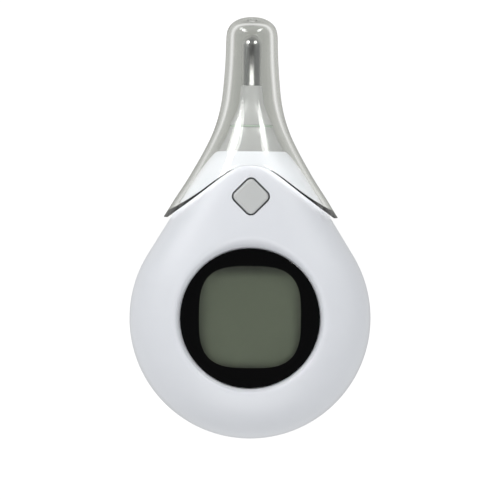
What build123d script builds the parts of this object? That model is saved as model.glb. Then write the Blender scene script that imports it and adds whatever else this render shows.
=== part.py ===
from build123d import *
import math
import os

# Drop-shaped digital probe thermometer with a clear pull-off probe cap.
# It lies on its back: +Z out of the display, +Y towards the probe tip, X across.
# The origin is on the flat rest face, under the centre of the display. Millimetres.

# Casing: a pebble, round in plan, with tangent flanks running to the neck
BODY_R = 25.0
TAIL_ANGLE = 31.5
AXIS_Z = 10.0
WALL = 1.8
ROUNDNESS = 2.35
CASE_END_Y = 34.4
CAVITY_END_Y = 32.4
FRONT_HEIGHT = ((0, 11.0), (5, 10.9), (10, 10.55), (15, 10.05), (20, 9.5), (25, 8.85), (30, 8.1), (34.4, 7.3))
REAR_HEIGHT = ((0, 10.6), (5, 10.5), (10, 10.2), (15, 9.75), (20, 9.2), (25, 8.6), (30, 8.0), (34.4, 7.3))
LIP_INSET = 0.9
LIP_THICK = 0.6
LIP_HEIGHT = 1.0
LIP_GAP = 0.08

# Display stack
LENS_R = 14.45
LENS_HOLE_R = 14.6
LENS_TOP = 18.6
LENS_THICK = 1.0
MASK_THICK = 0.15
ADHESIVE_THICK = 0.25
LEDGE_R = 12.95
LEDGE_THICK = 1.1
WINDOW_HALF = 10.5
WINDOW_Y = 0.25
WINDOW_POWER = 3.2
LCD_HALF = 12.0
LCD_THICK = 2.2
HOLDER_HALF = 13.0

# Board
BOARD_BOTTOM = 8.0
BOARD_THICK = 1.0
BOARD_TOP = BOARD_BOTTOM + BOARD_THICK
BOARD_INSET = 5.6
BOARD_END_Y = 28.6

# Button: a square turned through 45 degrees
BUTTON_Y = 25.15
BUTTON_HALF = 2.88
BUTTON_HOLE_HALF = 3.18
BUTTON_CORNER_R = 1.1
BUTTON_PROUD = 0.35
BUTTON_TRAVEL = 0.5
SWITCH_HEIGHT = 3.4
SWITCH_PLUNGER_R = 1.22
PLUNGER_LOW = BOARD_TOP + 1.2

# Probe, round about the axis at AXIS_Z
COLLAR_PROFILE = ((7.05, 34.4), (6.2, 35.9), (5.35, 37.4), (4.9, 38.5), (4.65, 39.5))
HOLDER_PROFILE = ((4.55, 39.9), (3.95, 41.1), (3.2, 42.7), (2.75, 44.0), (2.5, 45.2), (2.3, 46.8), (2.2, 48.1))
TIP_R = 2.115
TIP_WALL = 0.2
TIP_END_Y = 58.5
LEAD_R = 0.22

# Battery compartment, door and its screw
CELL_R = 10.0
CELL_THICK = 3.2
CELL_BOTTOM = 2.35
CELL_Y = 3.5
CUP_R = 10.4
CUP_OUTER_R = 12.0
CUP_CEILING = 6.4
CEILING_THICK = 1.0
DOOR_R = 12.4
DOOR_GAP = 0.15
DOOR_THICK = 1.6
EAR_Y = -10.6
EAR_R = 3.1
DOOR_SCREW_R = 1.0
DOOR_SCREW_HEAD_R = 1.9

# Case and board screws
CASE_SCREWS = ((17.5, -8.0), (-17.5, -8.0), (10.6, 19.6), (-10.6, 19.6))
BOSS_R = 2.3
SCREW_R = 1.0
SCREW_HEAD_R = 1.85
BOARD_SCREWS = ((15.9, 5.0), (-15.9, 5.0))
POST_R = 1.8
BOARD_SCREW_R = 0.8

# Clear cap: half-widths measured from the axis, wall thickened towards the tip
CAP_WIDTH = (
    (18.0, 20.0), (21.6, 17.65), (24.9, 15.6), (28.2, 13.45), (31.5, 11.5), (34.9, 9.62),
    (38.2, 8.05), (41.5, 6.93), (44.8, 6.24), (48.1, 5.86), (53.1, 5.5), (58.0, 5.35),
)
CAP_FRONT_HEIGHT = (
    (18.0, 11.1), (21.6, 10.65), (24.9, 10.2), (28.2, 9.75), (31.5, 9.2), (34.9, 8.55),
    (38.2, 7.75), (41.5, 6.9), (44.8, 6.24), (48.1, 5.86), (53.1, 5.5), (58.0, 5.35),
)
CAP_REAR_HEIGHT = (
    (18.0, 10.8), (21.6, 10.4), (24.9, 9.98), (28.2, 9.57), (31.5, 9.15), (34.9, 8.55),
    (38.2, 7.75), (41.5, 6.9), (44.8, 6.24), (48.1, 5.86), (53.1, 5.5), (58.0, 5.35),
)
CAP_WALL_FLARE = 1.0
CAP_WALL_TIP = 1.5
CAP_NOSE = ((58.9, 5.25), (59.8, 5.05), (60.6, 4.6), (61.4, 3.8), (62.0, 2.7), (62.3, 1.6), (62.4, 0.9))
CAP_INNER_NOSE = ((59.0, 3.78), (59.7, 3.52), (60.3, 2.95), (60.7, 2.05), (60.9, 0.9))
CAP_RIM = (
    (0, 31.6), (2.4, 31.2), (4.8, 29.95), (7.05, 28.35), (10.4, 25.75), (13.7, 23.3), (17.0, 21.0), (19.5, 19.3),
)
CAP_CORNER_Y = 20.8


def smooth(table, at):
    """Cubic interpolation through a table of (position, value) pairs."""
    last = len(table) - 1
    if at <= table[0][0]:
        return table[0][1]
    if at >= table[last][0]:
        return table[last][1]
    i = max(k for k in range(last) if table[k][0] <= at)
    slopes = []
    for k in (i, i + 1):
        a = table[max(k - 1, 0)]
        b = table[min(k + 1, last)]
        slopes.append((b[1] - a[1]) / (b[0] - a[0]))
    x0, y0 = table[i]
    x1, y1 = table[i + 1]
    d = x1 - x0
    t = (at - x0) / d
    start = y0 * (2 * t**3 - 3 * t**2 + 1) + slopes[0] * d * (t**3 - 2 * t**2 + t)
    end = y1 * (3 * t**2 - 2 * t**3) + slopes[1] * d * (t**3 - t**2)
    return start + end


def case_width(y, inset=0.0):
    """Half-width of the casing outline at y, moved in by inset."""
    r = BODY_R - inset
    a = math.radians(TAIL_ANGLE)
    if y <= r * math.sin(a):
        return math.sqrt(max(r * r - y * y, 0.0))
    w = (r - y * math.sin(a)) / math.cos(a)
    if y > 28.5:
        w -= 0.027 * (y - 28.5) ** 2
    return w


def case_power(y):
    """Fullness of the section: squarer across the body, a plain ellipse at the neck."""
    return ROUNDNESS + (2.0 - ROUNDNESS) * min(max((y - 8) / 26.4, 0.0), 1.0)


def case_height(x, y, inset, table):
    """Height of the casing surface above the parting plane."""
    r = BODY_R - inset
    power = case_power(y)
    ratio = math.hypot(x, y) / r if y < 0 else abs(x) / case_width(y, inset)
    ratio = min(ratio, 1.0)
    return (smooth(table, max(y, 0.0)) - inset) * (1 - ratio**power) ** (1 / power)


def half_section(points):
    """Face between the parting plane and an arch over it."""
    arch = Edge.make_spline(points)
    chord = Edge.make_line(points[-1], points[0])
    return Face(Wire([arch, chord]))


def case_section(y, inset, table, sign, count=19):
    w = case_width(y, inset)
    points = []
    for k in range(count):
        turn = math.cos(math.pi * k / (count - 1))
        x = w * math.copysign(abs(turn) ** 0.9, turn)
        z = 0.0 if k in (0, count - 1) else case_height(x, y, inset, table)
        points.append(Vector(x, y, AXIS_Z + sign * z))
    return half_section(points)


def case_half(inset, table, sign, end_y):
    """Solid half of the pebble on one side of the parting plane."""
    r = BODY_R - inset
    stations = [-r * math.cos(math.radians(a)) for a in (3, 9, 16, 25, 36, 48, 62, 76)]
    stations += [0, 5, 10, 15, 20, 25, 29, 32, end_y]
    return loft([case_section(y, inset, table, sign) for y in stations])


def outline_prism(inset, z_low, z_high, end_y):
    """Prism of the casing's plan outline between two heights."""
    r = BODY_R - inset
    stations = [-r * math.cos(math.radians(a)) for a in range(0, 90, 10)]
    stations += [0, 4, 8, 12, 16, 20, 24, 28, end_y]
    right = [Vector(case_width(y, inset), y, z_low) for y in stations]
    left = [Vector(-p.X, p.Y, z_low) for p in reversed(right)]
    edge = Edge.make_spline(right, tangents=[Vector(1, 0, 0), Vector(-0.55, 0.83, 0)])
    back = Edge.make_spline(left, tangents=[Vector(-0.55, -0.83, 0), Vector(1, 0, 0)])
    face = Face(Wire([edge, Edge.make_line(right[-1], left[0]), back]))
    return extrude(face, amount=z_high - z_low, dir=(0, 0, 1))


def disc(radius, z_low, z_high, x=0.0, y=0.0):
    height = z_high - z_low
    return Pos(x, y, z_low + height / 2) * Cylinder(radius, height)


def ring(outer, inner, z_low, z_high, x=0.0, y=0.0):
    return disc(outer, z_low, z_high, x, y) - disc(inner, z_low - 1, z_high + 1, x, y)


def block(size_x, size_y, z_low, z_high, x=0.0, y=0.0, corner=0.0):
    height = z_high - z_low
    if corner:
        return Pos(x, y, z_low) * extrude(RectangleRounded(size_x, size_y, corner), amount=height)
    return Pos(x, y, z_low + height / 2) * Box(size_x, size_y, height)


def diamond(half, z_low, z_high, corner):
    """Rounded square turned through 45 degrees at the button."""
    face = Rot(0, 0, 45) * RectangleRounded(2 * half, 2 * half, corner)
    return Pos(0, BUTTON_Y, z_low) * extrude(face, amount=z_high - z_low)


def about_probe(points):
    """Solid of revolution about the probe's axis from (radius, y) points."""
    outline = Polyline(*[(r, y, AXIS_Z) for r, y in points], close=True)
    return revolve(make_face(outline), Axis((0, 0, AXIS_Z), (0, 1, 0)))


def about_z(points, x=0.0, y=0.0):
    """Solid of revolution about a vertical axis from (radius, z) points."""
    outline = Polyline(*[(r, 0, z) for r, z in points], close=True)
    return Pos(x, y, 0) * revolve(make_face(outline), Axis.Z)


def one_solid(shape):
    """The largest solid of a shape, so that a piece is never a set of scraps."""
    return max(shape.solids(), key=lambda s: s.volume)


def collar_channel():
    """Space in the casing for the collar's plug and its flange."""
    return about_probe([(0, 29.0), (4.65, 29.0), (4.65, 30.4), (5.95, 30.4), (5.95, 32.3), (4.65, 32.3),
                        (4.65, 36.0), (0, 36.0)])


def lens_opening():
    """Round opening whose rim rolls down to the lens."""
    low = LENS_TOP - LENS_THICK - MASK_THICK - ADHESIVE_THICK
    roll_r = 2.2
    roll_z = low + 0.2
    points = [(0, low), (LENS_HOLE_R, low), (LENS_HOLE_R, roll_z)]
    for degrees in (15, 30, 45, 60):
        a = math.radians(degrees)
        points.append((LENS_HOLE_R + roll_r * (1 - math.cos(a)), roll_z + roll_r * math.sin(a)))
    points += [(20.5, 22.2), (20.5, 24.0), (0, 24.0)]
    return about_z(points)


def front_case():
    outer = case_half(0.0, FRONT_HEIGHT, 1, CASE_END_Y)
    inner = case_half(WALL, FRONT_HEIGHT, 1, CAVITY_END_Y)
    ledge_top = LENS_TOP - LENS_THICK - MASK_THICK - ADHESIVE_THICK
    ledge_low = ledge_top - LEDGE_THICK
    cavity = inner - disc(17.2, ledge_low, 24.0)
    for x, y in CASE_SCREWS:
        cavity = cavity - disc(BOSS_R, AXIS_Z + 0.5, 24.0, x, y)
    for x, y in BOARD_SCREWS:
        cavity = cavity - disc(POST_R, BOARD_TOP, 24.0, x, y)
    case = outer - cavity
    case = case - lens_opening()
    case = case - disc(LEDGE_R, ledge_low - 1, 22)
    case = case - diamond(BUTTON_HOLE_HALF, 12, 24, BUTTON_CORNER_R + 0.3)
    for x, y in CASE_SCREWS:
        case = case - disc(SCREW_R, 5, 14.2, x, y)
    for x, y in BOARD_SCREWS:
        case = case - disc(BOARD_SCREW_R, 5, 13.4, x, y)
    case = case - collar_channel()
    rebate = outline_prism(LIP_INSET - LIP_GAP, AXIS_Z - 1, AXIS_Z + LIP_HEIGHT + 0.05, CASE_END_Y - 1.2)
    core = outline_prism(WALL + 0.6, AXIS_Z - 2, AXIS_Z + 5, CAVITY_END_Y - 2.5)
    case = case - (rebate - core - block(16, 8, 5, 15, 0, 33.0))
    return one_solid(case)


def battery_cup():
    """Round well for the cell, the boss for the door screw and the ledge the door sits on."""
    cup = disc(CUP_OUTER_R, -1.0, CUP_CEILING + CEILING_THICK, 0, CELL_Y)
    cup += disc(DOOR_R + 2.0, -1.0, DOOR_THICK + 1.6, 0, CELL_Y)
    cup += disc(EAR_R + 1.4, -1.0, 6.6, 0, EAR_Y)
    return cup


def door_outline(gap, z_low, z_high):
    """Door shape in plan: a disc with an ear for the screw."""
    shape = disc(DOOR_R + gap, z_low, z_high, 0, CELL_Y)
    shape += disc(EAR_R + gap, z_low, z_high, 0, EAR_Y)
    return shape


def rear_case():
    outer = case_half(0.0, REAR_HEIGHT, -1, CASE_END_Y)
    outer = outer & block(80, 80, 0, 20, 0, 5)
    cavity = case_half(WALL, REAR_HEIGHT, -1, CAVITY_END_Y) - battery_cup()
    for x, y in CASE_SCREWS:
        cavity = cavity - disc(BOSS_R + 0.4, -1.0, BOARD_BOTTOM, x, y)
    case = outer - cavity
    case = case - door_outline(DOOR_GAP, -1, DOOR_THICK)
    case = case - disc(CUP_R, 0, CUP_CEILING, 0, CELL_Y)
    case = case - block(2.0, 5.2, CELL_BOTTOM, 12, CUP_R - 0.05, CELL_Y)
    case = case - block(4.8, 1.2, CUP_CEILING - 0.5, 12, 0, CELL_Y + 7.5)
    case = case - ring(11.75, 10.95, DOOR_THICK - 0.5, DOOR_THICK + 0.5, 0, CELL_Y)
    case = case - disc(DOOR_SCREW_R, 0, 5.8, 0, EAR_Y)
    for x, y in CASE_SCREWS:
        case = case - disc(SCREW_HEAD_R + 0.15, -1, 4.9, x, y)
        case = case - disc(SCREW_R + 0.12, -1, 12, x, y)
    case = case - collar_channel()
    lip = outline_prism(LIP_INSET, AXIS_Z - 0.4, AXIS_Z + LIP_HEIGHT, CASE_END_Y - 1.3)
    lip = lip - outline_prism(LIP_INSET + LIP_THICK, AXIS_Z - 3, AXIS_Z + 3, CASE_END_Y - 1.9)
    lip = lip - block(16.4, 8, 5, 15, 0, 33.0)
    case = case + lip
    return one_solid(case)


def display_lens():
    lens = disc(LENS_R, LENS_TOP - LENS_THICK, LENS_TOP)
    return chamfer(lens.edges().group_by(Axis.Z)[-1], 0.15)


def window_face(half):
    """Rounded-square window with soft sides."""
    points = []
    for k in range(48):
        a = 2 * math.pi * k / 48
        c = math.cos(a)
        s = math.sin(a)
        reach = half / (abs(c) ** WINDOW_POWER + abs(s) ** WINDOW_POWER) ** (1 / WINDOW_POWER)
        points.append((reach * c, reach * s))
    return make_face(Spline(*points, periodic=True))


def display_mask():
    low = LENS_TOP - LENS_THICK - MASK_THICK
    sheet = disc(LENS_R, low, low + MASK_THICK)
    return sheet - Pos(0, WINDOW_Y, low - 1) * extrude(window_face(WINDOW_HALF), amount=3)


def lens_adhesive():
    top = LENS_TOP - LENS_THICK - MASK_THICK
    return ring(LENS_R - 0.1, LEDGE_R + 0.15, top - ADHESIVE_THICK, top)


def lcd_levels():
    ledge_low = LENS_TOP - LENS_THICK - MASK_THICK - ADHESIVE_THICK - LEDGE_THICK
    return ledge_low - 0.1 - LCD_THICK, ledge_low - 0.1


def lcd_panel():
    low, high = lcd_levels()
    rear_glass = block(2 * LCD_HALF, 2 * LCD_HALF, low + 0.2, low + 1.1)
    front_glass = block(2 * LCD_HALF, 2 * LCD_HALF - 1.0, low + 1.1, high - 0.2, 0, 0.5)
    front_film = block(2 * LCD_HALF - 1, 2 * LCD_HALF - 1.6, high - 0.2, high, 0, 0.5)
    rear_film = block(2 * LCD_HALF - 1, 2 * LCD_HALF - 5.4, low, low + 0.2, 0, 2.2)
    return rear_glass + front_glass + front_film + rear_film


def lcd_holder():
    low, high = lcd_levels()
    frame = block(2 * HOLDER_HALF, 2 * HOLDER_HALF, BOARD_TOP, high - 0.1, 0, 0, 3.0)
    frame -= block(2 * LCD_HALF + 0.2, 2 * LCD_HALF + 0.2, low, high + 1)
    frame -= block(2 * LCD_HALF - 1.6, 2 * LCD_HALF - 1.6, BOARD_TOP - 1, high + 1)
    frame += block(2 * LCD_HALF - 1.2, 0.8, BOARD_TOP, low - 0.3, 0, -8.3)
    for x in (-9.0, 9.0):
        frame += disc(0.75, BOARD_TOP - 0.9, BOARD_TOP + 0.2, x, -11.9)
    return one_solid(frame)


def zebra_strip():
    low = lcd_levels()[0] + 0.2
    return block(20.0, 1.8, BOARD_TOP, low, 0, -9.75)


def main_board():
    board = outline_prism(BOARD_INSET, BOARD_BOTTOM, BOARD_TOP, BOARD_END_Y)
    for x, y in CASE_SCREWS:
        board -= disc(BOSS_R + 0.75, 0, 20, x, y)
    for x, y in BOARD_SCREWS:
        board -= disc(BOARD_SCREW_R + 0.1, 0, 20, x, y)
    for x in (-9.0, 9.0):
        board -= disc(0.85, 0, 20, x, -11.9)
    return one_solid(board)


def controller_blob():
    return about_z([(0, BOARD_TOP), (4.2, BOARD_TOP), (4.0, BOARD_TOP + 0.6), (3.0, BOARD_TOP + 1.2),
                    (1.6, BOARD_TOP + 1.5), (0, BOARD_TOP + 1.6)], 0, -1.5)


def small_components():
    places = ((-7, -4), (-7, 0), (7, -4), (7, 0), (-4, 7), (0, 7), (4, 7), (6.5, 4))
    return [block(1.6, 0.9, BOARD_TOP, BOARD_TOP + 0.6, x, y) for x, y in places]


def piezo_buzzer():
    case = disc(5.0, BOARD_BOTTOM - 2.6, BOARD_BOTTOM, 0, 21.3)
    return case - disc(1.0, BOARD_BOTTOM - 3.0, BOARD_BOTTOM - 1.9, 0, 21.3)


def button_cap():
    top = case_half(-BUTTON_PROUD, FRONT_HEIGHT, 1, CASE_END_Y)
    cap = diamond(BUTTON_HALF, 15.2, 24, BUTTON_CORNER_R) & top
    cap += diamond(BUTTON_HALF + 0.75, 15.2, 16.0, BUTTON_CORNER_R + 0.6)
    cap += disc(1.4, BOARD_TOP + SWITCH_HEIGHT + 0.05, 15.6, 0, BUTTON_Y)
    return one_solid(cap)


def button_boot():
    """Silicone cone round the switch, which returns the button and keeps water out."""
    return about_z([(3.6, 9.0), (3.95, 9.0), (3.95, 9.8), (3.0, 14.2), (3.0, 15.15), (1.7, 15.15),
                    (1.7, 14.4), (2.6, 14.2), (3.6, 9.8)], 0, BUTTON_Y)


def switch_body():
    body = block(4.5, 4.5, BOARD_TOP, BOARD_TOP + 1.9, 0, BUTTON_Y)
    body -= disc(SWITCH_PLUNGER_R + 0.08, PLUNGER_LOW - BUTTON_TRAVEL - 0.1, BOARD_TOP + 3, 0, BUTTON_Y)
    return body


def switch_plunger():
    plunger = disc(SWITCH_PLUNGER_R, PLUNGER_LOW, BOARD_TOP + SWITCH_HEIGHT, 0, BUTTON_Y)
    return chamfer(plunger.edges().group_by(Axis.Z)[-1], 0.15)


def probe_collar():
    bore = 1.6
    points = [(bore, 31.4), (3.0, 29.9), (4.6, 29.9), (4.6, 30.5), (5.85, 30.5), (5.85, 32.2), (4.6, 32.2), (4.6, 34.42)]
    points += [(r, y + (0.02 if y < 35 else 0)) for r, y in COLLAR_PROFILE]
    points += [(2.8, 39.5), (2.8, 37.6), (bore, 37.6)]
    return about_probe(points)


def collar_seal():
    return about_probe([(2.75, 39.5), (4.4, 39.5), (4.4, 39.9), (2.75, 39.9)])


def tip_holder():
    points = list(HOLDER_PROFILE)
    points += [(1.9, 48.1), (1.9, 46.6), (1.0, 46.6), (1.0, 37.7), (2.7, 37.7), (2.7, 39.9)]
    return about_probe(points)


def dome_points(radius, start_y, end_y, steps=8):
    """Straight side and round nose of the tip as (radius, y) points."""
    centre = end_y - radius
    points = [(radius, start_y), (radius, centre)]
    for k in range(1, steps + 1):
        a = math.radians(90.0 * k / steps)
        points.append((radius * math.cos(a), centre + radius * math.sin(a)))
    points[-1] = (0.0, end_y)
    return points


def probe_tip():
    outer = [(1.85, 46.65), (1.85, 48.12)] + dome_points(TIP_R, 48.12, TIP_END_Y)
    inner = dome_points(TIP_R - TIP_WALL - 0.22, 46.65, TIP_END_Y - TIP_WALL - 0.22)
    return about_probe(outer + list(reversed(inner)))


def tip_filler():
    """Heat-conducting resin in the nose, around the sensor bead."""
    radius = TIP_R - TIP_WALL - 0.22
    fill = about_probe([(0, 53.0)] + dome_points(radius, 53.0, TIP_END_Y - TIP_WALL - 0.22))
    fill -= Pos(0, 55.6, AXIS_Z) * Sphere(0.75)
    for x in (-0.42, 0.42):
        fill -= Pos(x, 54.0, AXIS_Z) * Rot(90, 0, 0) * Cylinder(LEAD_R, 3.0)
    return one_solid(fill)


def thermistor():
    return Pos(0, 55.6, AXIS_Z) * Sphere(0.75)


def swept_wire(path, radius, stations=30):
    """Round wire lofted through circles along a path."""
    sections = []
    for k in range(stations + 1):
        along = path % (k / stations)
        across = along.cross(Vector(0, 0, 1))
        sections.append(Plane(origin=path @ (k / stations), x_dir=across, z_dir=along) * Circle(radius))
    return loft(sections)


def lead_wires():
    """Pair of enamelled wires from the board, round the switch and along the probe to the bead."""
    wires = []
    for side in (-1, 1):
        path = Spline(
            (side * 5.2, 23.6, BOARD_TOP + LEAD_R + 0.05),
            (side * 4.5, 26.6, BOARD_TOP + 0.4),
            (side * 2.4, 29.2, BOARD_TOP + 0.75),
            (side * 0.95, 32.0, AXIS_Z),
            (side * 0.45, 37.0, AXIS_Z),
            (side * 0.42, 46.0, AXIS_Z),
            (side * 0.42, 55.0, AXIS_Z),
            tangents=[(0, 1, 0), (0, 1, 0)],
        )
        wires.append(swept_wire(path, LEAD_R) - thermistor())
    return wires


def battery_cell():
    can = about_z([(0, 0), (9.6, 0), (CELL_R, 0.35), (CELL_R, CELL_THICK - 0.55), (9.3, CELL_THICK - 0.3),
                   (8.75, CELL_THICK - 0.3), (8.75, CELL_THICK), (0, CELL_THICK)])
    return Pos(0, CELL_Y, CELL_BOTTOM) * can


def negative_contact():
    """Leaf spring above the cell, its tail going up through the ceiling to the board."""
    t = 0.2
    low = CELL_BOTTOM + CELL_THICK
    outline = [(-4.0, low), (1.0, low), (3.6, CUP_CEILING - t), (8.0, CUP_CEILING - t),
               (8.0, BOARD_BOTTOM), (7.8, BOARD_BOTTOM), (7.8, CUP_CEILING), (3.5, CUP_CEILING),
               (0.9, low + t), (-4.0, low + t)]
    face = make_face(Polyline(*[(-2.0, CELL_Y + y - 0.35, z) for y, z in outline], close=True))
    return extrude(face, amount=4.0, dir=(1, 0, 0))


def positive_contact():
    """Leaf on the side of the cell, rising through the ceiling to the board."""
    t = 0.25
    low = CELL_BOTTOM + 0.4
    outline = [(CELL_R, low + 0.4), (CELL_R + t, low), (CELL_R + t, BOARD_BOTTOM - 0.2),
               (CELL_R + 1.0, BOARD_BOTTOM - 0.2), (CELL_R + 1.0, BOARD_BOTTOM), (CELL_R, BOARD_BOTTOM)]
    face = make_face(Polyline(*[(x, CELL_Y - 2.0, z) for x, z in outline], close=True))
    return extrude(face, amount=4.0, dir=(0, 1, 0))


def battery_door():
    outer = case_half(0.0, REAR_HEIGHT, -1, CASE_END_Y)
    door = door_outline(0.0, 0, DOOR_THICK - 0.02) & outer
    door -= disc(DOOR_SCREW_HEAD_R + 0.1, -1, 0.9, 0, EAR_Y)
    door -= disc(DOOR_SCREW_R + 0.1, -1, 5, 0, EAR_Y)
    for x in (-5.0, 0.0, 5.0):
        door += block(1.0, 12.0, DOOR_THICK - 0.2, CELL_BOTTOM - 0.05, x, CELL_Y)
    for k in range(5):
        door -= block(8.0 - 1.2 * k, 0.5, -1, 0.35, 0, CELL_Y + 6.0 + 0.95 * k)
    return one_solid(door)


def door_seal():
    return ring(11.7, 11.0, DOOR_THICK - 0.02, DOOR_THICK + 0.45, 0, CELL_Y)


def cross_slot(x, y, z_low, z_high, length, width):
    slot = block(length, width, z_low, z_high, x, y)
    slot += block(width, length, z_low, z_high, x, y)
    return slot


def headed_screw(x, y, head_low, head_r, head_height, shank_r, length):
    """Cross-recessed pan screw driven upwards, with a chamfered head and point."""
    top = head_low + head_height
    screw = about_z([(0, head_low), (head_r - 0.3, head_low), (head_r, head_low + 0.35), (head_r, top),
                     (shank_r, top), (shank_r, top + length - 0.5), (shank_r - 0.4, top + length),
                     (0, top + length)], x, y)
    return screw - cross_slot(x, y, head_low - 1, head_low + 0.6, head_r * 1.3, 0.45)


def door_screw():
    return headed_screw(0, EAR_Y, 0.3, DOOR_SCREW_HEAD_R, 0.6, DOOR_SCREW_R - 0.03, 4.6)


def case_screws():
    return [headed_screw(x, y, 3.5, SCREW_HEAD_R, 1.4, SCREW_R, 8.6) for x, y in CASE_SCREWS]


def board_screws():
    return [headed_screw(x, y, BOARD_BOTTOM - 1.0, 1.5, 1.0, BOARD_SCREW_R, 5.0) for x, y in BOARD_SCREWS]


def cap_section(y, wall):
    """Closed section of the cap at y, moved in by the wall."""
    slope = 1.0 / math.cos(math.radians(TAIL_ANGLE)) if y < 36 else 1.0
    w = smooth(CAP_WIDTH, y) - wall * slope
    power = 2.0 / case_power(y)
    points = []
    for k in range(40):
        turn = 2 * math.pi * k / 40
        c = math.cos(turn)
        s = math.sin(turn)
        h = smooth(CAP_FRONT_HEIGHT if s > 0 else CAP_REAR_HEIGHT, y) - wall
        x = w * math.copysign(abs(c) ** power, c)
        z = h * math.copysign(abs(s) ** power, s)
        points.append(Vector(x, y, AXIS_Z + z))
    return Face(Wire([Edge.make_spline(points, periodic=True)]))


def nose_section(radius, y):
    points = []
    for k in range(40):
        turn = 2 * math.pi * k / 40
        points.append(Vector(radius * math.cos(turn), y, AXIS_Z + radius * math.sin(turn)))
    return Face(Wire([Edge.make_spline(points, periodic=True)]))


def cap_body(wall_low, wall_high, nose):
    """Solid flare, tube and rounded nose, from below the rim to the end."""
    sections = []
    for y, _ in CAP_WIDTH:
        share = min(max((y - 34.0) / 12.0, 0.0), 1.0)
        sections.append(cap_section(y, wall_low + (wall_high - wall_low) * share))
    sections += [nose_section(radius, y) for y, radius in nose]
    return loft(sections)


def rim_cutter():
    """Everything below the cap's arched rim."""
    arch = [Vector(x, y, -5) for x, y in CAP_RIM]
    left = [Vector(-p.X, p.Y, -5) for p in arch[1:]]
    curve = Edge.make_spline(list(reversed(left)) + arch)
    right_end = arch[-1]
    left_end = left[-1]
    corners = [right_end, Vector(30, right_end.Y, -5), Vector(30, 0, -5), Vector(-30, 0, -5),
               Vector(-30, left_end.Y, -5), left_end]
    edges = [Edge.make_line(a, b) for a, b in zip(corners, corners[1:])]
    below = extrude(Face(Wire([curve] + edges)), amount=40, dir=(0, 0, 1))
    return below + block(80, 20, -5, 35, 0, CAP_CORNER_Y - 10)


def protective_cap():
    outer = cap_body(0.0, 0.0, CAP_NOSE)
    inner = cap_body(CAP_WALL_FLARE, CAP_WALL_TIP, CAP_INNER_NOSE)
    return one_solid(outer - inner - rim_cutter())


def save(shape, node):
    if isinstance(shape, list):
        shape = Compound(children=shape)
    export_step(shape, f"parts/{node}.step")


os.makedirs("parts", exist_ok=True)
NODES = {
    "front_case": front_case,
    "rear_case": rear_case,
    "display_lens": display_lens,
    "display_mask": display_mask,
    "lens_adhesive": lens_adhesive,
    "lcd_panel": lcd_panel,
    "lcd_holder": lcd_holder,
    "zebra_strip": zebra_strip,
    "main_board": main_board,
    "controller_blob": controller_blob,
    "small_components": small_components,
    "piezo_buzzer": piezo_buzzer,
    "button_cap": button_cap,
    "button_boot": button_boot,
    "switch_body": switch_body,
    "switch_plunger": switch_plunger,
    "probe_collar": probe_collar,
    "collar_seal": collar_seal,
    "tip_holder": tip_holder,
    "probe_tip": probe_tip,
    "tip_filler": tip_filler,
    "thermistor": thermistor,
    "lead_wires": lead_wires,
    "battery_cell": battery_cell,
    "negative_contact": negative_contact,
    "positive_contact": positive_contact,
    "battery_door": battery_door,
    "door_seal": door_seal,
    "door_screw": door_screw,
    "case_screws": case_screws,
    "board_screws": board_screws,
    "protective_cap": protective_cap,
}
for node, make in NODES.items():
    save(make(), node)
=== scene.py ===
import math

import bmesh
import bpy
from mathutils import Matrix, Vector


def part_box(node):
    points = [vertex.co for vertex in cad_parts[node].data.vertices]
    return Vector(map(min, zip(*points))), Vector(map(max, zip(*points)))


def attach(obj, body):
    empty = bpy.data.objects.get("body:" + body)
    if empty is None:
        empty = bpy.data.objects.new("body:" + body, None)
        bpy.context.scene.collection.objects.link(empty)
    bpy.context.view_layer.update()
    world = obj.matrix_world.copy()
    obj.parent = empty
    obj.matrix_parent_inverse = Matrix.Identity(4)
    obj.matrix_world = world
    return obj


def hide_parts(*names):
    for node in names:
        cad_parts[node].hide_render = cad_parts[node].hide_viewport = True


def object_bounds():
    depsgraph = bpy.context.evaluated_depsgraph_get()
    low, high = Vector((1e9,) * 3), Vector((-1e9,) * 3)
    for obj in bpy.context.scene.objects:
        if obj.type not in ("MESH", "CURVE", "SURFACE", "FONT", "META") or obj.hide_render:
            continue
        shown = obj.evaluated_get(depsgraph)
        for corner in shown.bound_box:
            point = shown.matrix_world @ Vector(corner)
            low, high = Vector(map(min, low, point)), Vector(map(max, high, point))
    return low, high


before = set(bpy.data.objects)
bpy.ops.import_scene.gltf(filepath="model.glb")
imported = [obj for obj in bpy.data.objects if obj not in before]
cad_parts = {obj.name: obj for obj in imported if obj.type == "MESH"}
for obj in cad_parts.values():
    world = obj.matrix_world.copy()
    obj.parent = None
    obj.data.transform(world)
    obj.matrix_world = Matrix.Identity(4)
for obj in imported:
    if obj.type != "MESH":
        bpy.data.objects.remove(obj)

# Looks for a drop-shaped digital thermometer that lies on its back, +Z out of the
# display and +Y towards the probe tip. Shapes are worked out in millimetres in the
# frame's own axes and become metres when a mesh is made.

CAD_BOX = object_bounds()
MM = 0.001


def box_mm(node):
    """Lowest and highest corners of a CAD node in millimetres."""
    low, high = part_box(node)
    return low / MM, high / MM


def middle_y(node):
    low, high = box_mm(node)
    return (low.y + high.y) / 2


# Places taken from the frame
TIP_LOW, TIP_HIGH = box_mm("probe_tip")
LENS_LOW, LENS_HIGH = box_mm("display_lens")
MASK_LOW, MASK_HIGH = box_mm("display_mask")
AXIS_Z = (TIP_LOW.z + TIP_HIGH.z) / 2
TIP_R = (TIP_HIGH.x - TIP_LOW.x) / 2
LENS_R = (LENS_HIGH.x - LENS_LOW.x) / 2
BUTTON_Y = middle_y("button_cap")
STEM_LOW = box_mm("button_cap")[0].z
CELL_Y = middle_y("battery_cell")
EAR_Y = middle_y("door_screw")
CASE_END_Y = box_mm("front_case")[1].y
CAP_END_Y = box_mm("protective_cap")[1].y

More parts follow.
